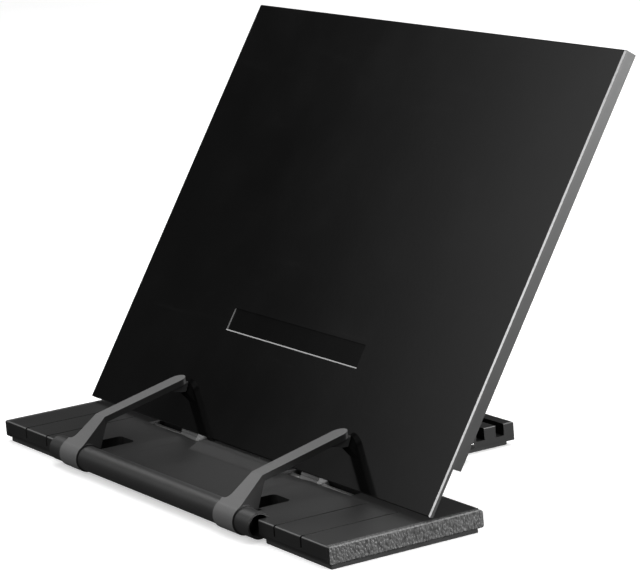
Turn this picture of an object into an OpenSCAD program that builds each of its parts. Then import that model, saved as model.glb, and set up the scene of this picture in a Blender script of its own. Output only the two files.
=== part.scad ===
// Folding reading stand with a notched tail, a wire prop and two sprung page holders.
// +Z is up, +X is to the reader's right and +Y points away from the reader.
// The origin is on the table, under the centre of the whole stand as it stands in use.

/* [Base] */
// Width of the front ledge over its end caps
base_w = 340; // [320:1:360]
// Depth of the front ledge, front to back
ledge_d = 85.5; // [84:0.5:90]
// Height of the ledge's top above the table
ledge_top = 11.7; // [11.4:0.1:12.2]
// Thickness of the rubber feet
foot_t = 2.6; // [2:0.1:2.8]
// Thickness of the bottom cover
cover_t = 2; // [1.6:0.1:2.2]
// Thickness of each moulded end cap
cap_t = 3.4; // [1.5:0.1:4]

/* [Tail rack] */
// Width of the tail
rack_w = 96; // [80:1:98]
// Distance from the ledge's front face to the end of the tail
rack_end = 187.8; // [186:0.2:189]
// Height of the tops of the teeth above the table
rack_top = 12.3; // [12:0.1:12.6]
// Width of one notch
notch_w = 5.1; // [4.8:0.1:5.6]
// Distance from one notch to the next
notch_pitch = 12.2; // [11.5:0.1:12.5]
// Number of notches
notch_n = 7; // [4:1:8]
// Height of the notch floor above the table
notch_floor = 6.1; // [5.9:0.1:6.6]

/* [Back plate] */
// Width of the back plate
plate_w = 343; // [325:1:360]
// Height of the back plate, measured along it
plate_h = 240; // [225:1:260]
// Thickness of the front panel
panel_t = 2.2; // [2:0.1:2.4]
// Thickness of the whole back plate
plate_t = 6.8; // [6.6:0.1:7.2]
// Lean of the plate back from upright, in the third notch from the end
lean = 32.4; // [31:0.2:34]
// Height of the bare panel skirt below the back cover
skirt_h = 25.4; // [25:0.2:28]

/* [Page holders] */
// Distance from the middle of the stand to each page holder
arm_x = 82; // [78:1:84]
// Width of a page holder's hub
hub_w = 19; // [17:0.5:20]
// Outer radius of the hub
hub_r = 7.4; // [7.2:0.05:8.1]
// Width of the arm above its elbow
arm_w = 10; // [8:0.5:12]
// Thickness of the arm
arm_t = 3.2; // [2.6:0.1:3.6]

/* [Wire prop] */
// Radius of the prop's wire
wire_r = 1.6; // [1.4:0.1:1.7]
// Distance from the middle of the stand to each leg of the prop
leg_x = 60.5; // [60:0.5:61]
// Height of the prop's pivots, measured along the plate
prop_u = 62; // [58:1:66]

/* [Hidden] */

$fn = 64;
eps = 0.01;          // overlap that makes a cut run through a face
far = 400;           // longer than anything on the stand

// Colours
ledge_col = "#2b2b2d";
cap_col = "#39393b";
rubber_col = "#1d1d1e";
panel_col = "#141415";
rim_col = "#2f3032";
arm_col = "#6a6b6d";
leaf_col = "#9b9c9e";
steel_col = "#c9cacc";

// Heights of the base, from the table up
cover_z = foot_t;
shell_z = foot_t + cover_t;
edge_r = 1.2;        // rounding along the ledge's top edges
roof_z = ledge_top - 1.8;

// Barrel that carries the page holders, along the ledge's front edge
barrel_y = 0.75;
barrel_z = 8.2;
barrel_r = 6.6;
barrel_bore = 5.6;
barrel_half = 105;
web_t = 2;           // wall inside a barrel that holds the axle
axle_r = 1.5;
run_gap = 0.05;      // radial gap of a running fit
side_gap = 0.5;      // gap beside a hub
hub_in = arm_x - hub_w / 2;
hub_out = arm_x + hub_w / 2;
window_y = 28.8;     // back edge of the window behind each hub
window_out = arm_x + 6.6;
window_r = 3;        // rounding of the window's back corners

// Plate: its foot, and the hinge axis under the foot
foot_y = 54.3;
foot_z = 14.8;
hinge_w = 6;         // depth of the axis behind the panel's front face
flat_gap = 0.4;      // gap over the teeth when the plate lies flat
flat_z = rack_top + flat_gap + panel_t;
hinge_u = (flat_z - hinge_w - foot_z + hinge_w * sin(lean)) / cos(lean);
hinge_y = foot_y + hinge_u * sin(lean) + hinge_w * cos(lean);
hinge_z = flat_z - hinge_w;
pin_r = 1.5;
knuckle_r = 3.9;
leaf_in = 53;
leaf_out = 70;
leaf_t = 2;
leaf_h = 22;
pocket_in = 39.8;    // pocket in the ledge around each hinge
pocket_out = 103;
pocket_y0 = hinge_y - 4.3;
pocket_y1 = hinge_y + 4.8;

// Ridge in front of the plate's foot, between the hinges
ridge_y0 = 42;
ridge_y1 = 50.5;
ridge_h = 2.2;

// Shallow basin between the page holders, with sloping sides
basin_depth = 0.7;
basin_half = 56;
basin_slope = 10;

// Moulded grooves near the ledge's ends
groove_x = [120, 144.3];

// Rack
rack_y0 = ledge_d;
last_tooth = 6.3;    // thickness of the tooth at the tail's end
prop_notch = 3;      // notch that holds the prop, counted from the end
function notch_y(k) = rack_end - last_tooth - notch_w / 2 - (k - 1) * notch_pitch;
tooth_y = notch_pitch / 2;

// Prop: pivot on the plate, foot in the rack
prop_w = panel_t + 0.4 + wire_r;
pivot_y = foot_y + prop_u * sin(lean) + prop_w * cos(lean);
pivot_z = foot_z + prop_u * cos(lean) - prop_w * sin(lean);
bar_y = notch_y(prop_notch);
bar_z = notch_floor + wire_r + 0.1;
leg_len = norm([bar_y - pivot_y, bar_z - pivot_z]);
leg_dir = atan2(bar_y - pivot_y, pivot_z - bar_z);
bend_r = 2.6;
joint_gap = 0.2;     // gap between a leg and the crossbar
bracket_in = 65.5;
bracket_out = 75.5;

// Page holder: line from the hub to the elbow, then to the tip
elbow_y = 14.6;
elbow_z = 27;
tip_z = 39.7;
tip_gap = 0.35;      // gap between the tip's pad and the panel
tip_back = 3.4;      // the arm itself stops this far short of the panel
function panel_y(z) = foot_y + (z - foot_z) * tan(lean) - tip_gap / cos(lean);
slope = atan2(tip_z - elbow_z, panel_y(tip_z) - elbow_y);
end_y = panel_y(tip_z) - tip_back;
end_z = tip_z - tip_back * tan(slope);
drop = arm_t / cos(slope);
pad_face = 5.5;      // height of the pad's face along the panel
pad_len = 12;        // length of the pad under the arm

// The stand's middle, front to back, measured from the ledge's front face
plate_back_y = foot_y + plate_h * sin(lean) + plate_t * cos(lean);
mid_y = (barrel_y - hub_r + max(rack_end, plate_back_y)) / 2;

// Screws
screw_r = 1.1;
screw_head_r = 2.2;
screw_head_t = 1;
base_screw_at = concat(
    [for (x = [-100, -25, 25, 100], y = [38, 67]) [x, y]],
    [for (x = [-20, 20], k = [3, 6]) [x, notch_y(k) - tooth_y]]);
cover_screw_at = concat(
    [for (x = [-158, 158], u = [42, 100, 165]) [x, u]],
    [for (x = [-110, 0, 110]) [x, plate_h - 12]]);
leaf_screw_at = [for (x = [-65.5, -57.5, 57.5, 65.5]) [x, 13]];
bracket_screw_u = 6;

// ---- shared shapes ----

// Puts a part that is measured from the ledge's front face into the stand's frame
module on_base() {
    translate([0, -mid_y, 0]) children();
}

// Local frame of the plate: y is depth behind its front face, z runs up along it
module on_plate() {
    on_base() translate([0, foot_y, foot_z]) rotate([-lean, 0, 0]) children();
}

// Box from one corner to the other
module span(a, b) {
    translate(a) cube(b - a);
}

// The same shape on the left and on the right
module both_sides() {
    children();
    mirror([1, 0, 0]) children();
}

// Cylinder along X
module rod_x(x0, x1, r) {
    translate([x0, 0, 0]) rotate([0, 90, 0]) cylinder(h = x1 - x0, r = r);
}

// Outline drawn in Y and Z, extruded along X
module slab_x(x0, x1) {
    translate([x0, 0, 0]) rotate([90, 0, 90]) linear_extrude(x1 - x0) children();
}

function arc(cy, cz, r, a0, a1, n = 6) =
    [for (i = [0:n]) let (a = a0 + (a1 - a0) * i / n) [cy + r * cos(a), cz + r * sin(a)]];

// ---- base ----

// Section of the ledge with rounded top edges
module ledge_section(z0) {
    polygon(concat(
        [[0, z0]],
        arc(edge_r, ledge_top - edge_r, edge_r, 180, 90),
        arc(ledge_d - edge_r, ledge_top - edge_r, edge_r, 90, 0),
        [[ledge_d, z0]]));
}

// Section of the raised lip in front of the plate, with a smooth rise from the basin
module ridge_section() {
    base_z = ledge_top - basin_depth;
    rise_z = ridge_h + basin_depth;
    polygon(concat(
        [for (i = [0:10]) let (t = i / 10)
            [ridge_y0 + (ridge_y1 - ridge_y0) * t, base_z + rise_z * (1 - cos(180 * t)) / 2]],
        [[pocket_y0, ledge_top + ridge_h], [pocket_y0, base_z - 0.5], [ridge_y0, base_z - 0.5]]));
}

// Shallow basin from the barrel to the hinge pockets
module basin_cut() {
    edge = basin_half + basin_slope;
    floor_z = ledge_top - basin_depth;
    translate([0, pocket_y0 + eps, 0]) rotate([90, 0, 0]) linear_extrude(pocket_y0 - 9.5) polygon([
        [-edge, ledge_top], [-basin_half, floor_z], [basin_half, floor_z], [edge, ledge_top],
        [edge, ledge_top + 1], [-edge, ledge_top + 1]]);
}

// Slot for the hub, and the round-cornered window behind it
module window_cut() {
    slot_in = hub_in - side_gap;
    slot_y = barrel_y + hub_r + 2;
    span([slot_in, -far, -1], [hub_out + side_gap, slot_y, far]);
    span([slot_in, 0, -1], [window_out, window_y - window_r, far]);
    span([slot_in + window_r, 0, -1], [window_out - window_r, window_y, far]);
    for (x = [slot_in + window_r, window_out - window_r]) {
        translate([x, window_y - window_r, -1]) cylinder(h = far, r = window_r);
    }
}

module screw_posts(z0, z1) {
    for (p = base_screw_at) {
        if (p.y < ledge_d) translate([p.x, p.y, z0]) cylinder(h = z1 - z0, r = 3.4);
    }
}

module screw_holes(z0, z1, r) {
    for (p = base_screw_at) translate([p.x, p.y, z0]) cylinder(h = z1 - z0, r = r);
}

module ledge_shell() {
    shell_half = base_w / 2 - cap_t;
    color(ledge_col) on_base() difference() {
        union() {
            difference() {
                slab_x(-shell_half, shell_half) ledge_section(shell_z);
                basin_cut();
                // hollow underside
                span([-64, 11, shell_z - 1], [64, 50, roof_z]);
                span([-36, 54, shell_z - 1], [36, 83.5, roof_z]);
                both_sides() span([95, 9.5, shell_z - 1], [shell_half - 2, 50, roof_z]);
                both_sides() span([106.5, 54, shell_z - 1], [shell_half - 2, 83.5, roof_z]);
            }
            screw_posts(shell_z, roof_z + eps);
            slab_x(-pocket_in, pocket_in) ridge_section();
        }
        screw_holes(shell_z - 1, roof_z - 1, screw_r + run_gap);
        // seat of the barrel, and the windows behind the hubs
        translate([0, barrel_y, barrel_z]) rod_x(-barrel_half - 0.2, barrel_half + 0.2, barrel_r + run_gap);
        both_sides() window_cut();
        // hinge pockets, the seats of the hinge leaves, and the bores of the hinge pins
        both_sides() span([pocket_in, pocket_y0, shell_z - 1], [pocket_out, pocket_y1, far]);
        both_sides() span([leaf_in - 0.8, pocket_y1 - eps, flat_z - panel_t - leaf_t - 0.5],
                          [leaf_out + 0.8, far, far]);
        translate([0, hinge_y, hinge_z]) both_sides() rod_x(pocket_in - 2, pocket_out + 2, pin_r + run_gap);
        // moulded grooves across the top and down the front
        both_sides() for (x = groove_x) {
            span([x - 0.4, -1, ledge_top - 0.6], [x + 0.4, foot_y, far]);
            span([x - 0.7, -1, 6], [x + 0.7, 2.2, far]);
        }
    }
}

module end_cap_shape() {
    cap_in = base_w / 2 - cap_t;
    round_r = 2;
    color(cap_col) on_base() difference() {
        slab_x(cap_in, base_w / 2) polygon(concat(
            arc(edge_r, cover_z + edge_r, edge_r, 270, 180),
            arc(edge_r, ledge_top - edge_r, edge_r, 180, 90),
            arc(ledge_d - round_r, ledge_top - round_r, round_r, 90, 0),
            arc(ledge_d - edge_r, cover_z + edge_r, edge_r, 0, -90)));
        // small bevel around the outer face
        for (z = [cover_z, ledge_top]) {
            translate([base_w / 2, 0, z]) rotate([0, 45, 0]) cube([0.9, far, 0.9], center = true);
        }
    }
}

module end_cap_right() {
    end_cap_shape();
}

module end_cap_left() {
    mirror([1, 0, 0]) end_cap_shape();
}

module tail_rack() {
    color(ledge_col) on_base() difference() {
        span([-rack_w / 2, rack_y0, shell_z], [rack_w / 2, rack_end, rack_top]);
        for (k = [1:notch_n]) {
            span([-far, notch_y(k) - notch_w / 2, notch_floor], [far, notch_y(k) + notch_w / 2, far]);
        }
        screw_holes(shell_z - 1, rack_top - 2, screw_r + run_gap);
        // bevelled upper edges of the end
        translate([0, rack_end, rack_top]) rotate([45, 0, 0]) cube([far, 0.8, 0.8], center = true);
        both_sides() translate([rack_w / 2, 0, rack_top]) rotate([0, 45, 0])
            cube([0.6, 2 * far, 0.6], center = true);
    }
}

module base_cover() {
    inset = 1;
    shell_half = base_w / 2 - cap_t;
    color(ledge_col) on_base() difference() {
        union() {
            span([-shell_half, inset, cover_z], [shell_half, ledge_d - inset, shell_z]);
            span([-rack_w / 2, ledge_d - inset - eps, cover_z], [rack_w / 2, rack_end, shell_z]);
        }
        span([-barrel_half - 0.2, -far, -1], [barrel_half + 0.2, 9.2, far]);
        both_sides() window_cut();
        screw_holes(cover_z - 1, shell_z + 1, screw_r + run_gap);
        screw_holes(cover_z - 1, cover_z + screw_head_t + 0.1, screw_head_r + 0.1);
    }
}

// Rubber feet: a block under each end of the ledge, two strips between them, one under the tail
pad_in = 108;

module foot_pad_shape() {
    color(rubber_col) on_base() span([pad_in, 2, 0], [base_w / 2 - 2.5, ledge_d - 2, cover_z]);
}

module foot_pad_right() {
    foot_pad_shape();
}

module foot_pad_left() {
    mirror([1, 0, 0]) foot_pad_shape();
}

module foot_strip_front() {
    color(rubber_col) on_base() span([-62, 12, 0], [62, 26, cover_z]);
}

module foot_strip_back() {
    color(rubber_col) on_base() span([-pad_in + 0.5, 72, 0], [pad_in - 0.5, ledge_d - 2, cover_z]);
}

module rack_foot_pad() {
    color(rubber_col) on_base() difference() {
        span([-45, ledge_d + 2, 0], [45, rack_end - 3, cover_z]);
        screw_holes(-1, cover_z + 1, screw_head_r + 0.3);
    }
}

module base_screws() {
    color(steel_col) on_base() for (p = base_screw_at) {
        translate([p.x, p.y, cover_z + 0.05]) cylinder(h = screw_head_t, r = screw_head_r);
        translate([p.x, p.y, cover_z + screw_head_t]) cylinder(h = 4.4, r = screw_r);
    }
}

// ---- barrel and page holders ----

// Hollow barrel from x0 to x1, with a wall at each end that is listed
module barrel(x0, x1, walls) {
    color(ledge_col) on_base() translate([0, barrel_y, barrel_z]) {
        difference() {
            rod_x(x0, x1, barrel_r);
            rod_x(x0 - 1, x1 + 1, barrel_bore);
        }
        for (x = walls) difference() {
            rod_x(x, x + web_t, barrel_bore + eps);
            rod_x(x - 1, x + web_t + 1, axle_r + run_gap);
        }
    }
}

module barrel_center() {
    end = hub_in - side_gap;
    barrel(-end, end, [-end, end - web_t]);
}

module barrel_right() {
    start = hub_out + side_gap;
    barrel(start, barrel_half, [start]);
}

module barrel_left() {
    end = -hub_out - side_gap;
    barrel(-barrel_half, end, [end - web_t]);
}

module arm_axle() {
    axle_half = hub_out + side_gap + web_t + 1.5;
    color(steel_col) on_base() translate([0, barrel_y, barrel_z]) rod_x(-axle_half, axle_half, axle_r);
}

// Close-wound coil around the axle, just inside the hub
module arm_spring() {
    coil_wire = 0.6;
    turns = 9;
    start = hub_in - side_gap - web_t - 1;
    color(steel_col) on_base() translate([0, barrel_y, barrel_z]) for (i = [0:turns - 1]) {
        translate([start - coil_wire - i * 1.1, 0, 0]) rotate([0, 90, 0])
            rotate_extrude() translate([3.2, 0]) circle(r = coil_wire, $fn = 24);
    }
}

module arm_spring_right() {
    arm_spring();
}

module arm_spring_left() {
    mirror([1, 0, 0]) arm_spring();
}

// Where the line from p meets a circle just inside the hub, above (side = 1) or behind it (side = -1)
function touch(p, side) = let (
    r = hub_r - 0.06,
    reach = norm([p.x - barrel_y, p.y - barrel_z]),
    a = atan2(p.y - barrel_z, p.x - barrel_y) + side * acos(r / reach)
) [barrel_y + r * cos(a), barrel_z + r * sin(a)];

// Side view of the arm: a wedge from the hub to the elbow, then a strip that ends at the panel
module arm_section() {
    elbow = [elbow_y, elbow_z];
    back = 1.1;      // how far the inner corner of the bend lies behind the outer one
    under = [elbow_y + back, elbow_z - drop + back * tan(slope)];
    polygon([
        [barrel_y, barrel_z],
        touch(elbow, 1), elbow, [end_y, end_z],
        [end_y, end_z - drop], under, touch(under, -1)]);
}

// The arm's outline from above, about its own middle: one flank runs straight into the hub's
// side, the other meets the hub in a rounded shoulder, and the tip is round
module arm_plan(inset, tip_y) {
    half = arm_w / 2 - inset;
    hub_half = hub_w / 2;
    shoulder_r = 3.2;
    shoulder_y = barrel_y + 2.2;
    polygon(concat(
        [[-hub_half, barrel_y - hub_r - 1], [hub_half, barrel_y - hub_r - 1],
         [hub_half, barrel_y - 2], [half, elbow_y]],
        [for (a = [0:7.5:180]) [half * cos(a), tip_y - half + half * sin(a)]],
        [for (a = [0:15:90]) [
            -half - shoulder_r * (1 - cos(a)), shoulder_y - shoulder_r * sin(a)]],
        [[-hub_half, shoulder_y - shoulder_r]]));
}

// Page holder whose hub is centred on x
module arm_shape(x) {
    x0 = x - hub_w / 2;
    x1 = x + hub_w / 2;
    color(arm_col) on_base() difference() {
        union() {
            translate([0, barrel_y, barrel_z]) rod_x(x0, x1, hub_r);
            intersection() {
                slab_x(x0, x1) arm_section();
                translate([x, 0, 0]) linear_extrude(far) arm_plan(0, end_y);
            }
        }
        translate([0, barrel_y, barrel_z]) rod_x(x0 - 1, x1 + 1, axle_r + run_gap);
    }
}

module arm_right() {
    arm_shape(arm_x);
}

module arm_left() {
    arm_shape(-arm_x);
}

// Rubber pad under the tip, with its face along the panel
module tip_pad_shape(x) {
    under_z = end_z - drop;
    face_z = under_z - pad_face * cos(lean);
    color(rubber_col) on_base() intersection() {
        slab_x(x - arm_w / 2, x + arm_w / 2) polygon([
            [end_y, under_z],
            [panel_y(under_z), under_z],
            [panel_y(face_z), face_z],
            [panel_y(face_z) - 3, face_z + 0.2],
            [end_y - pad_len * cos(slope), under_z - pad_len * sin(slope)]]);
        translate([x, 0, 0]) linear_extrude(far) arm_plan(0.6, panel_y(under_z) + 1);
    }
}

module tip_pad_right() {
    tip_pad_shape(arm_x);
}

module tip_pad_left() {
    tip_pad_shape(-arm_x);
}

// ---- back plate ----

plate_name_x = 65;
plate_name_u = [57.7, 69.8];
name_depth = 1.2;    // depth of the pocket that holds the nameplate
name_sink = 0.7;     // how far the nameplate's face sits below the panel's
bay_x = 80;          // half width of the bay in the back cover
bay_u = 152;         // top of the bay

module front_panel() {
    bevel = 0.7;
    half = plate_w / 2;
    color(panel_col) on_plate() difference() {
        intersection() {
            linear_extrude(plate_h) polygon([
                [-half, panel_t], [-half, bevel], [-half + bevel, 0],
                [half - bevel, 0], [half, bevel], [half, panel_t]]);
            slab_x(-half, half) polygon([
                [0, 0.4], [0.4, 0], [panel_t, 0], [panel_t, plate_h],
                [bevel, plate_h], [0, plate_h - bevel]]);
        }
        span([-plate_name_x, -1, plate_name_u[0]], [plate_name_x, name_depth, plate_name_u[1]]);
        for (p = concat(cover_screw_at, leaf_screw_at)) panel_hole(p.x, p.y);
        for (x = [-70.5, 70.5], s = [-1, 1]) panel_hole(x, prop_u + s * bracket_screw_u);
    }
}

// Blind hole in the panel's back
module panel_hole(x, u) {
    translate([x, 1, u]) rotate([-90, 0, 0]) cylinder(h = panel_t, r = screw_r + run_gap);
}

module nameplate() {
    gap = 0.1;
    color(panel_col) on_plate() span(
        [-plate_name_x + gap, name_sink, plate_name_u[0] + gap],
        [plate_name_x - gap, name_depth, plate_name_u[1] - gap]);
}

// Moulded cover with a deep rim; its bay takes the tail and the prop when folded
module back_cover() {
    wall = 2;
    back_wall = plate_t - 1.4;
    half = plate_w / 2;
    color(rim_col) on_plate() difference() {
        union() {
            difference() {
                span([-half, panel_t, skirt_h], [half, plate_t, plate_h]);
                span([-bay_x, -1, -1], [bay_x, far, bay_u]);
                // hollows that the panel closes
                both_sides() span([bay_x + wall, 0, skirt_h + wall], [half - wall, back_wall, bay_u]);
                both_sides() span([1, 0, bay_u + wall], [half - wall, back_wall, plate_h - wall]);
            }
            for (p = cover_screw_at) translate([p.x, panel_t, p.y]) rotate([-90, 0, 0])
                cylinder(h = plate_t - panel_t, r = 3.4);
        }
        for (p = cover_screw_at) translate([p.x, 0, p.y]) rotate([-90, 0, 0]) {
            cylinder(h = far, r = screw_r + run_gap);
            translate([0, 0, plate_t - screw_head_t - 0.1]) cylinder(h = far, r = screw_head_r + 0.1);
        }
    }
}

// Screw whose head's outer face is at depth w, pointing at the panel's front
module plate_screw(x, u, w, tip_w) {
    translate([x, 0, u]) rotate([-90, 0, 0]) {
        translate([0, 0, w - screw_head_t]) cylinder(h = screw_head_t, r = screw_head_r);
        translate([0, 0, tip_w]) cylinder(h = w - tip_w - screw_head_t + eps, r = screw_r);
    }
}

module cover_screws() {
    color(steel_col) on_plate() for (p = cover_screw_at) plate_screw(p.x, p.y, plate_t - 0.05, 1.1);
}

module leaf_screws() {
    color(steel_col) on_plate() for (p = leaf_screw_at) {
        plate_screw(p.x, p.y, panel_t + leaf_t, 1.1);
    }
}

module bracket_screws() {
    color(steel_col) on_plate() for (x = [-70.5, 70.5], s = [-1, 1]) {
        plate_screw(x, prop_u + s * bracket_screw_u, panel_t + 1.4 + screw_head_t, 1.1);
    }
}

// Grey hinge leaf: a knuckle around the pin and a flat leaf behind the panel's skirt
module hinge_leaf() {
    color(leaf_col) on_plate() difference() {
        union() {
            translate([0, hinge_w, hinge_u]) rod_x(leaf_in, leaf_out, knuckle_r);
            span([leaf_in, panel_t, 0], [leaf_out, panel_t + leaf_t, leaf_h]);
            slab_x(leaf_in, leaf_out) polygon([
                [panel_t, 0.5], [panel_t, hinge_u + 2], [hinge_w, hinge_u],
                [hinge_w - 0.4, hinge_u + knuckle_r - 0.1], [panel_t + leaf_t, 1.6]]);
        }
        translate([0, hinge_w, hinge_u]) rod_x(leaf_in - 1, leaf_out + 1, pin_r + run_gap);
        for (p = leaf_screw_at) translate([p.x, 0, p.y]) rotate([-90, 0, 0]) {
            cylinder(h = far, r = screw_r + run_gap);
            translate([0, 0, panel_t + leaf_t - screw_head_t - 0.05])
                cylinder(h = far, r = screw_head_r + 0.05);
        }
    }
}

module hinge_leaf_right() {
    hinge_leaf();
}

module hinge_leaf_left() {
    mirror([1, 0, 0]) hinge_leaf();
}

module hinge_pin() {
    color(steel_col) on_base() translate([0, hinge_y, hinge_z])
        rod_x(pocket_in - 1.9, pocket_out + 1.9, pin_r);
}

module hinge_pin_right() {
    hinge_pin();
}

module hinge_pin_left() {
    mirror([1, 0, 0]) hinge_pin();
}

// ---- wire prop ----

module prop_bracket() {
    flange = 9.4;
    color(leaf_col) on_plate() difference() {
        union() {
            span([bracket_in, panel_t, prop_u - flange], [bracket_out, panel_t + 1.4, prop_u + flange]);
            span([bracket_in, panel_t, prop_u - 3.2], [bracket_out, prop_w, prop_u + 3.2]);
            translate([0, prop_w, prop_u]) rod_x(bracket_in, bracket_out, 3.2);
        }
        // flat against the panel
        span([0, -far, -far], [far, panel_t, far]);
        translate([0, prop_w, prop_u]) rod_x(bracket_in - 1, bracket_out + 1, wire_r + run_gap);
        for (s = [-1, 1]) translate([70.5, 0, prop_u + s * bracket_screw_u]) rotate([-90, 0, 0])
            cylinder(h = far, r = screw_r + run_gap);
    }
}

module prop_bracket_right() {
    prop_bracket();
}

module prop_bracket_left() {
    mirror([1, 0, 0]) prop_bracket();
}

// Quarter bend of the wire in the XZ plane, around [x, z], from angle a
module wire_bend(x, z, a) {
    translate([x, 0, z]) rotate([90, 0, 0]) rotate([0, 0, a]) rotate_extrude(angle = 90)
        translate([bend_r, 0]) circle(r = wire_r, $fn = 32);
}

// Leg of the prop: in through the bracket, down to the rack, and round to the crossbar
module prop_leg() {
    stub_end = bracket_out + 2;
    color(steel_col) on_base() translate([0, pivot_y, pivot_z]) rotate([leg_dir, 0, 0]) {
        rod_x(leg_x + bend_r, stub_end, wire_r);
        wire_bend(leg_x + bend_r, -bend_r, 90);
        translate([leg_x, 0, -leg_len + bend_r]) cylinder(h = leg_len - 2 * bend_r, r = wire_r);
        wire_bend(leg_x - bend_r, -leg_len + bend_r, 270);
    }
}

module prop_leg_right() {
    prop_leg();
}

module prop_leg_left() {
    mirror([1, 0, 0]) prop_leg();
}

module prop_crossbar() {
    half = leg_x - bend_r - joint_gap;
    color(steel_col) on_base() translate([0, bar_y, bar_z]) rod_x(-half, half, wire_r);
}

ledge_shell();
tail_rack();
base_cover();
end_cap_left();
end_cap_right();
foot_pad_left();
foot_pad_right();
foot_strip_front();
foot_strip_back();
rack_foot_pad();
base_screws();
barrel_center();
barrel_left();
barrel_right();
arm_axle();
arm_spring_left();
arm_spring_right();
hinge_pin_left();
hinge_pin_right();
prop_crossbar();
arm_left();
tip_pad_left();
arm_right();
tip_pad_right();
front_panel();
nameplate();
back_cover();
cover_screws();
hinge_leaf_left();
hinge_leaf_right();
leaf_screws();
prop_bracket_left();
prop_bracket_right();
bracket_screws();
prop_leg_left();
prop_leg_right();
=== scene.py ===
"""Looks of the folding reading stand: materials, softened edges, light and camera."""

import math

import bpy
from mathutils import Matrix, Vector


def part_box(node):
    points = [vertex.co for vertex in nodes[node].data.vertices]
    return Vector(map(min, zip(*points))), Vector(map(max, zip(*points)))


MM = 0.001

# Softened edges of the CAD meshes
FLAT_WITHIN = math.radians(0.6)     # faces closer in direction than this are one flat face
SHARP_ABOVE = math.radians(32)      # edges that turn more than this are rounded
EDGE_SEGMENTS = 2

# Studio floor
FLOOR_HALF = 6.0
FLOOR_GLOW = 0.42                   # keeps the floor near white around its contact shadows

# Camera at the photograph's viewing angle, fitted to straight edges with the roll given
CAMERA_AZIMUTH = math.radians(59.51)
CAMERA_ELEVATION = math.radians(11.94)
CAMERA_ROLL = math.radians(-4.5)
CAMERA_DISTANCE = 1.6
CAMERA_AIM = Vector((0.0394, -0.008175, 0.0992))
CAMERA_LENS = 179.9
CAMERA_SENSOR = 36

# Painted light and painted highlights on the panel, its nameplate pocket and the end caps
PANEL_SIDE_LIGHT = 0.018            # painted light: what the panel's flat sides add to their shade, so they look lit
POCKET_HIGHLIGHT_HEIGHT = 0.5 * MM              # height of the painted highlight along the pocket's lower edge
# shade of the painted highlights on the pocket's left wall and lower edge
POCKET_HIGHLIGHT_SHADE = 0.4
# shade of the painted highlight along the end caps' upper edges
CAP_EDGE_HIGHLIGHT = 0.05

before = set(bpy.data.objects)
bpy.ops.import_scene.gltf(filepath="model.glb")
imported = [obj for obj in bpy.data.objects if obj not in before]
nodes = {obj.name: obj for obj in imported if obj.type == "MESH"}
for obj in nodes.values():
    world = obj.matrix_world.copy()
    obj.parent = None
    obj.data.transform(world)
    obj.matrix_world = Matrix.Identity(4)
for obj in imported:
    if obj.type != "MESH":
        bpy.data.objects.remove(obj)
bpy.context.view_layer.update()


# ---- node helpers ----

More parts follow.
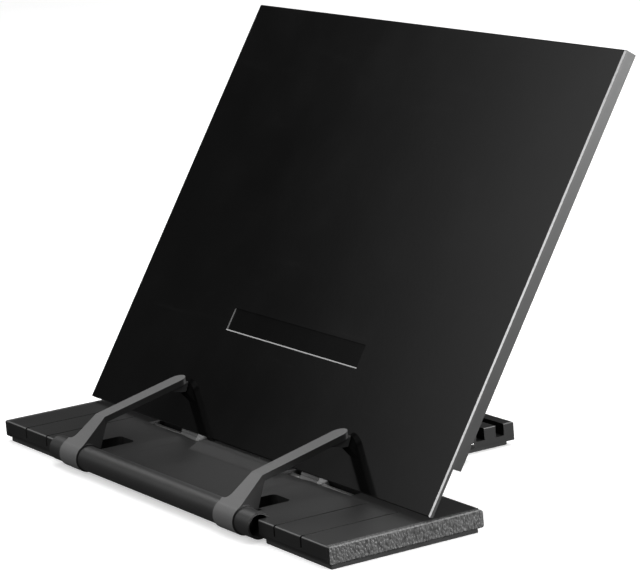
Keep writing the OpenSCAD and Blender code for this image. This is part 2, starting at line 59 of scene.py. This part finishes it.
class Shader:
    """A Principled material built from procedural nodes, in object coordinates.

    A setting of the constructor is a socket of the surface, with _ for the spaces in its name.
    """

    def __init__(self, name, **settings):
        self.material = bpy.data.materials.new(name)
        self.material.use_nodes = True
        self.tree = self.material.node_tree
        self.tree.nodes.clear()
        output = self.add("ShaderNodeOutputMaterial")
        self.surface = self.add("ShaderNodeBsdfPrincipled")
        self.join(self.surface.outputs[0], output.inputs["Surface"])
        self.place = self.add("ShaderNodeTexCoord").outputs["Object"]
        for key, value in settings.items():
            self.surface.inputs[key.replace("_", " ")].default_value = value

    def add(self, kind, **values):
        node = self.tree.nodes.new(kind)
        for key, value in values.items():
            if hasattr(node, key):
                setattr(node, key, value)
            else:
                node.inputs[key.replace("_", " ").title()].default_value = value
        return node

    def join(self, a, b):
        self.tree.links.new(a, b)

    def stretched(self, x, y, z):
        """Object coordinates scaled by a factor along each axis."""
        node = self.add("ShaderNodeMapping")
        node.inputs["Scale"].default_value = (x, y, z)
        self.join(self.place, node.inputs["Vector"])
        return node.outputs["Vector"]

    def noise(self, size_mm, detail=3.0, rough=0.55, place=None):
        """Fractal noise whose features are about size_mm across."""
        node = self.add("ShaderNodeTexNoise", scale=1 / (size_mm * MM), detail=detail, roughness=rough)
        self.join(place or self.place, node.inputs["Vector"])
        return node.outputs["Fac"]

    def cells(self, size_mm, feature="F1", place=None):
        """Distance to the centres of cells about size_mm across."""
        node = self.add("ShaderNodeTexVoronoi", feature=feature, scale=1 / (size_mm * MM))
        self.join(place or self.place, node.inputs["Vector"])
        return node.outputs["Distance"]

    def spread(self, value, low, high, to_low, to_high):
        """Value carried from low..high to to_low..to_high, and held at the ends."""
        node = self.add("ShaderNodeMapRange")
        for socket, number in zip(node.inputs[1:5], (low, high, to_low, to_high)):
            socket.default_value = number
        self.join(value, node.inputs[0])
        return node.outputs[0]

    def facing(self, axis, sign=0, flat=False):
        """How squarely a face looks along an axis; sign 0 counts both ways.

        flat takes the face's own normal, for pieces that stay put in the world's axes.
        """
        node = self.add("ShaderNodeSeparateXYZ")
        if flat:
            normal = self.add("ShaderNodeNewGeometry").outputs["True Normal"]
        else:
            normal = self.add("ShaderNodeTexCoord").outputs["Normal"]
        self.join(normal, node.inputs[0])
        part = node.outputs[axis]
        return self.math("MULTIPLY", part, sign) if sign else self.math("ABSOLUTE", part, 0)

    def coordinate(self, axis):
        """Object coordinate along one axis."""
        node = self.add("ShaderNodeSeparateXYZ")
        self.join(self.place, node.inputs[0])
        return node.outputs[axis]

    def inside(self, box, margins):
        result = 1.0
        for axis, low, high, margin in zip("XYZ", *box, margins):
            from_centre = self.math("SUBTRACT", self.coordinate(axis), (low + high) / 2)
            within = self.math("LESS_THAN", self.math("ABSOLUTE", from_centre, 0),
                               (high - low) / 2 + margin)
            result = self.math("MULTIPLY", within, result)
        return result

    def upper_edges(self):
        """Mask of painted edge highlights: one on bevels that look up and sideways, or squarely up and
        forward; zero on flat faces.
        """
        up = self.facing("Z", 1, flat=True)
        sideways = self.math("MULTIPLY", up, self.facing("X", flat=True))
        lengthways = self.math("MULTIPLY", up, self.facing("Y", flat=True))
        return self.math("MAXIMUM", self.spread(sideways, 0.3, 0.34, 0, 1),
                         self.spread(lengthways, 0.45, 0.48, 0, 1))

    def side_edges(self):
        """Mask of painted highlights: one on the bevels around faces that look along X."""
        sideways = self.facing("X")
        return self.math("MULTIPLY", self.spread(sideways, 0.4, 0.5, 0, 1),
                         self.spread(sideways, 0.85, 0.93, 1, 0))

    def math(self, kind, a, b):
        node = self.add("ShaderNodeMath", operation=kind)
        for socket, value in zip(node.inputs, (a, b)):
            if isinstance(value, (int, float)):
                socket.default_value = value
            else:
                self.join(value, socket)
        return node.outputs[0]

    def colour(self, fac, dark, light):
        """Base colour between two shades."""
        node = self.add("ShaderNodeMix", data_type="RGBA")
        node.inputs[6].default_value = (*dark, 1)
        node.inputs[7].default_value = (*light, 1)
        self.join(fac, node.inputs[0])
        self.join(node.outputs[2], self.surface.inputs["Base Color"])

    def roughness(self, value):
        self.join(value, self.surface.inputs["Roughness"])

    def bump(self, height, depth_mm):
        node = self.add("ShaderNodeBump")
        node.inputs["Strength"].default_value = 1.0
        node.inputs["Distance"].default_value = depth_mm * MM
        self.join(height, node.inputs["Height"])
        self.join(node.outputs["Normal"], self.surface.inputs["Normal"])


def grey(value, warmth=0.0):
    """Shade with equal parts of each colour, or a little more red than blue."""
    return (value * (1 + warmth), value, value * (1 - warmth))


def moulded_plastic(name, dark, light, rough, grain_mm, grain_depth, dust=0.05, shine=0.5,
                    edge_highlight=0.0, sides=None):
    """Satin moulded plastic: fine spark-eroded grain, faint mottling and a little dust.

    edge_highlight is the shade of a painted highlight along the edges. sides, if given, is a painted
    shade for the flat faces that look along X; such a piece gets its painted highlight along the edges
    of those faces.
    """
    m = Shader(name, IOR=1.49, Specular_IOR_Level=shine)
    grain = m.noise(grain_mm, detail=4)
    mottle = m.noise(35, detail=5)
    specks = m.spread(m.noise(1.1, detail=2), 0.66, 0.74, 0, 1)
    tone = m.math("ADD", m.math("MULTIPLY", mottle, 0.75), m.math("MULTIPLY", grain, 0.25))
    tone = m.math("ADD", tone, m.math("MULTIPLY", specks, dust))
    shade = m.spread(tone, 0, 1, dark, light)
    # painted shade: flat faces that look along X get their own darker shade, as if in shadow
    if sides is not None:
        flank = m.spread(m.facing("X"), 0.9, 0.97, 0, 1)
        shade = m.math("ADD", m.math("MULTIPLY", shade, m.math("SUBTRACT", 1, flank)),
                       m.math("MULTIPLY", flank, sides))
    # painted highlight: bevels made lighter, as if catching the light
    if edge_highlight:
        lit_edges = m.upper_edges() if sides is None else m.side_edges()
        shade = m.math("ADD", shade, m.math("MULTIPLY", lit_edges, edge_highlight))
    m.colour(shade, grey(0), grey(1))
    wear = m.math("ADD", m.math("MULTIPLY", mottle, 0.12), m.math("MULTIPLY", grain, 0.10))
    m.roughness(m.math("ADD", wear, rough - 0.11))
    m.bump(grain, grain_depth)
    return m.material


def leather_grain(name, dark, light):
    """Coarse pebbled grain of the moulded end caps; painted shade makes their front faces plain dark,
    and a painted highlight lightens their upper edges.
    """
    m = Shader(name, IOR=1.49)
    pebble = m.cells(0.85, "SMOOTH_F1", m.stretched(1, 1, 0.55))
    fine = m.noise(0.35, detail=3)
    height = m.math("ADD", m.math("MULTIPLY", pebble, -1.0), m.math("MULTIPLY", fine, 0.25))
    # painted shade: faces that look forward are darkened as if in shadow
    front = m.spread(m.facing("Y", -1), 0.5, 0.9, 0, 2)
    # grain tone: lighter on the pebbles, with painted shade in the hollows between them
    tone = m.math("SUBTRACT", m.spread(pebble, 0.1, 0.75, 1, 0), front)
    tone.node.use_clamp = True
    # painted highlight along the caps' upper edges
    cap_edge_light = m.math("MULTIPLY", m.upper_edges(), CAP_EDGE_HIGHLIGHT)
    shade = m.math("ADD", m.spread(tone, 0, 1, dark, light), cap_edge_light)
    m.colour(shade, grey(0), grey(1))
    m.roughness(m.spread(pebble, 0.1, 0.8, 0.36, 0.6))
    m.bump(height, 0.3)
    return m.material


def gloss_panel(name, shade, rough, chamfer_highlight=0.0, pocket=None, shine=0.5):
    """Near-black gloss with faint orange peel, fine hazing and a few hairline rubs.

    chamfer_highlight is the shade of a painted highlight on the chamfer along the panel's sides,
    whose flat faces also get painted light. pocket is the box of the nameplate, whose pocket gets
    a painted highlight on its left wall and along its lower edge.
    """
    m = Shader(name, IOR=1.5, Specular_IOR_Level=shine)
    haze = m.noise(60, detail=6)
    rubs = m.noise(14, detail=8, rough=0.7, place=m.stretched(0.12, 1.0, 1.6))
    peel = m.noise(2.6, detail=2)
    blur = m.math("ADD", m.spread(haze, 0.3, 0.7, rough - 0.03, rough + 0.03),
                  m.spread(rubs, 0.6, 0.75, 0, 0.05))
    shading = m.spread(haze, 0, 1, shade * 0.7, shade * 1.3)
    if chamfer_highlight:
        # painted highlight on the side chamfers, broken up a little by noise
        chamfer = m.side_edges()
        # painted light: the panel's flat sides that look along X are made lighter, as if lit
        lit_side = m.spread(m.facing("X"), 0.9, 0.97, 0, 1)
        nicks = m.spread(m.noise(1.6, detail=4), 0.3, 0.6, 0.75, 1)
        chamfer_light = m.math("MULTIPLY", chamfer, m.math("MULTIPLY", nicks, chamfer_highlight))
        shading = m.math("ADD", shading, chamfer_light)
        shading = m.math("ADD", shading, m.math("MULTIPLY", lit_side, PANEL_SIDE_LIGHT))
        blur = m.math("ADD", blur, m.math("MULTIPLY", chamfer, 0.14))
        blur = m.math("ADD", blur, m.math("MULTIPLY", lit_side, 0.34))
    # painted highlight on the pocket's left wall and along its lower edge
    if pocket:
        left = m.spread(m.facing("X", 1), 0.3, 0.6, 0, 1)
        lower = m.math("LESS_THAN", m.coordinate("Z"), pocket[0][2] + POCKET_HIGHLIGHT_HEIGHT)
        around = m.inside(pocket, (0.3 * MM, 1.5 * MM, 0))
        lit_wall = m.math("MULTIPLY", around, m.math("MAXIMUM", left, lower))
        shading = m.math("ADD", shading, m.math("MULTIPLY", lit_wall, POCKET_HIGHLIGHT_SHADE))
        blur = m.math("ADD", blur, m.math("MULTIPLY", lit_wall, 0.3))
    m.colour(shading, grey(0), grey(1))
    m.roughness(blur)
    m.bump(peel, 0.004)
    return m.material


def rubber(name, shade):
    """Matt rubber with a fine speck and a cloudy bloom."""
    m = Shader(name, IOR=1.45)
    speck = m.noise(0.5, detail=3)
    bloom = m.noise(12, detail=4)
    m.colour(m.math("MULTIPLY", m.math("ADD", speck, bloom), 0.5), grey(shade * 0.6), grey(shade * 1.5))
    m.roughness(m.spread(bloom, 0.3, 0.7, 0.68, 0.9))
    m.bump(speck, 0.05)
    return m.material


def drawn_steel(name, shade, rough, along=(0.05, 1, 1)):
    """Bright metal with fine draw lines along one axis."""
    m = Shader(name, Metallic=1.0)
    lines = m.noise(0.3, detail=4, place=m.stretched(*along))
    tarnish = m.noise(6, detail=5)
    m.colour(tarnish, grey(shade * 0.78, 0.01), grey(shade, 0.005))
    m.roughness(m.math("ADD", m.spread(tarnish, 0.3, 0.7, rough, rough + 0.12),
                       m.spread(lines, 0.3, 0.7, 0, 0.08)))
    m.bump(lines, 0.006)
    return m.material


# painted highlight along the ledge's upper edges
ledge_mat = moulded_plastic("ledge_plastic", 0.009, 0.018, 0.45, 0.28, 0.02, shine=0.25,
                            edge_highlight=0.10)
barrel_mat = moulded_plastic("barrel_plastic", 0.014, 0.024, 0.38, 0.25, 0.014)
# page holders: painted shade on their flanks and a painted highlight along the flanks' edges
arm_mat = moulded_plastic("arm_plastic", 0.08, 0.115, 0.40, 0.22, 0.012, dust=0.02, edge_highlight=0.12,
                          sides=0.022)
rim_mat = moulded_plastic("rim_plastic", 0.012, 0.021, 0.42, 0.28, 0.018)
leaf_mat = moulded_plastic("grey_plastic", 0.085, 0.13, 0.42, 0.25, 0.012, dust=0.02)
cap_mat = leather_grain("grained_cap", 0.008, 0.10)
panel_mat = gloss_panel("panel_gloss", 0.0015, 0.08, chamfer_highlight=0.45, pocket=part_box("nameplate"))
name_mat = gloss_panel("blank_nameplate", 0.0025, 0.08, shine=0.2)
rubber_mat = rubber("rubber", 0.02)
steel_mat = drawn_steel("steel", 0.5, 0.24)
wire_mat = drawn_steel("bright_wire", 0.78, 0.12)

NODE_MATERIALS = {
    ledge_mat: ["ledge_shell", "tail_rack", "base_cover"],
    barrel_mat: ["barrel_center", "barrel_left", "barrel_right"],
    cap_mat: ["end_cap_left", "end_cap_right"],
    rubber_mat: ["foot_pad_left", "foot_pad_right", "foot_strip_front", "foot_strip_back",
                 "rack_foot_pad", "tip_pad_left", "tip_pad_right"],
    arm_mat: ["arm_left", "arm_right"],
    leaf_mat: ["hinge_leaf_left", "hinge_leaf_right", "prop_bracket_left", "prop_bracket_right"],
    panel_mat: ["front_panel"],
    name_mat: ["nameplate"],
    rim_mat: ["back_cover"],
    steel_mat: ["arm_axle", "arm_spring_left", "arm_spring_right", "hinge_pin_left",
                "hinge_pin_right", "base_screws", "cover_screws", "leaf_screws", "bracket_screws"],
    wire_mat: ["prop_leg_left", "prop_leg_right", "prop_crossbar"],
}
EDGE_MM = {"ledge_shell": 0.35, "tail_rack": 0.4, "base_cover": 0.3, "back_cover": 0.35,
           "front_panel": 0.3, "hinge_leaf_left": 0.3, "hinge_leaf_right": 0.3,
           "barrel_left": 0.25, "barrel_right": 0.25, "barrel_center": 0.25,
           "foot_pad_left": 0.5, "foot_pad_right": 0.5, "rack_foot_pad": 0.5,
           "arm_left": 0.35, "arm_right": 0.35, "tip_pad_left": 0.4, "tip_pad_right": 0.4,
           "end_cap_left": 0.25, "end_cap_right": 0.25,
           "prop_bracket_left": 0.3, "prop_bracket_right": 0.3}


def soften(obj, width_mm):
    """Merges the flat faces of a CAD mesh, then rounds its hard edges a little."""
    flat = obj.modifiers.new("flat_faces", "DECIMATE")
    flat.decimate_type = "DISSOLVE"
    flat.angle_limit = FLAT_WITHIN
    edge = obj.modifiers.new("edges", "BEVEL")
    edge.width = width_mm * MM
    edge.segments = EDGE_SEGMENTS
    edge.limit_method = "ANGLE"
    edge.angle_limit = SHARP_ABOVE
    edge.harden_normals = True


for material, names in NODE_MATERIALS.items():
    for name in names:
        obj = nodes[name]
        obj.data.materials.clear()
        obj.data.materials.append(material)
for name, width_mm in EDGE_MM.items():
    soften(nodes[name], width_mm)


# ---- studio ----

def studio_floor():
    """White floor, which lights and mirrors nothing: the photograph is a cut-out on white."""
    mesh = bpy.data.meshes.new("studio_floor")
    corners = [(x * FLOOR_HALF, y * FLOOR_HALF, 0) for x, y in ((-1, -1), (1, -1), (1, 1), (-1, 1))]
    mesh.from_pydata(corners, [], [(0, 1, 2, 3)])
    floor = bpy.data.objects.new("studio_floor", mesh)
    bpy.context.collection.objects.link(floor)
    m = Shader("floor_white", Roughness=0.6)
    m.colour(m.noise(400), grey(0.86), grey(0.88))
    m.surface.inputs["Emission Color"].default_value = (1, 1, 1, 1)
    m.surface.inputs["Emission Strength"].default_value = FLOOR_GLOW
    mesh.materials.append(m.material)
    floor.visible_glossy = False
    floor.visible_diffuse = False


def softbox(name, direction, distance, size, power, target=(0, 0, 0.08)):
    """Area light that looks at the stand from a direction."""
    light = bpy.data.lights.new(name, "AREA")
    light.shape = "RECTANGLE"
    light.size, light.size_y = size
    light.energy = power
    obj = bpy.data.objects.new(name, light)
    back = Vector(direction).normalized()
    obj.location = Vector(target) + back * distance
    obj.rotation_mode = "QUATERNION"
    obj.rotation_quaternion = (-back).to_track_quat("-Z", "Y")
    bpy.context.collection.objects.link(obj)


def dome(ambient, glow, glow_towards, edge, core):
    """Dim surroundings with one large soft glow, bright within core and gone beyond edge (degrees)."""
    world = bpy.data.worlds.new("dome")
    bpy.context.scene.world = world
    world.use_nodes = True
    tree = world.node_tree
    tree.nodes.clear()
    place = tree.nodes.new("ShaderNodeTexCoord")
    dot = tree.nodes.new("ShaderNodeVectorMath")
    dot.operation = "DOT_PRODUCT"
    dot.inputs[1].default_value = Vector(glow_towards).normalized()
    ramp = tree.nodes.new("ShaderNodeMapRange")
    square = tree.nodes.new("ShaderNodeMath")
    square.operation = "POWER"
    square.inputs[1].default_value = 2
    scale = tree.nodes.new("ShaderNodeMath")
    scale.operation = "MULTIPLY_ADD"
    scale.inputs[1].default_value = glow
    scale.inputs[2].default_value = ambient
    background = tree.nodes.new("ShaderNodeBackground")
    output = tree.nodes.new("ShaderNodeOutputWorld")
    limits = (math.cos(math.radians(edge)), math.cos(math.radians(core)), 0, 1)
    for socket, number in zip(ramp.inputs[1:5], limits):
        socket.default_value = number
    tree.links.new(place.outputs["Generated"], dot.inputs[0])
    tree.links.new(dot.outputs["Value"], ramp.inputs[0])
    tree.links.new(ramp.outputs[0], square.inputs[0])
    tree.links.new(square.outputs[0], scale.inputs[0])
    tree.links.new(scale.outputs[0], background.inputs["Strength"])
    tree.links.new(background.outputs[0], output.inputs["Surface"])


def photo_camera():
    """Camera at the photograph's viewing angle, with a long lens and a slight roll."""
    azimuth, elevation, roll = CAMERA_AZIMUTH, CAMERA_ELEVATION, CAMERA_ROLL
    back = Vector((math.sin(azimuth) * math.cos(elevation),
                   -math.cos(azimuth) * math.cos(elevation), math.sin(elevation)))
    level = Vector((math.cos(azimuth), math.sin(azimuth), 0))
    upright = back.cross(level)
    right = level * math.cos(roll) + upright * math.sin(roll)
    up = upright * math.cos(roll) - level * math.sin(roll)
    data = bpy.data.cameras.new("camera")
    data.lens = CAMERA_LENS
    data.sensor_width = CAMERA_SENSOR
    camera = bpy.data.objects.new("camera", data)
    camera.matrix_world = (Matrix.Translation(CAMERA_AIM + back * CAMERA_DISTANCE)
                           @ Matrix((right, up, back)).transposed().to_4x4())
    bpy.context.collection.objects.link(camera)
    bpy.context.scene.camera = camera


studio_floor()
dome(ambient=0.055, glow=2.15, glow_towards=(-0.49, -0.62, 0.61), edge=30, core=17)
softbox("overhead", (0.05, 0.25, 1), 2.7, (3.6, 3.6), 90)
softbox("back_right", (0.78, 0.6, 0.15), 1.8, (0.8, 0.5), 44)
softbox("edge_light", (0.21, 0.47, 0.86), 1.8, (0.9, 0.3), 6)
softbox("left_high", (-0.8, 0.0, 0.6), 1.8, (0.8, 0.4), 2.5)
softbox("front", (0.15, -1.0, 0.2), 1.8, (1.2, 0.7), 11)
softbox("key", (0.53, -0.66, 0.53), 1.5, (0.4, 0.4), 4.5, target=(0.17, 0.02, 0.12))
photo_camera()
bpy.context.scene.view_settings.view_transform = "Standard"
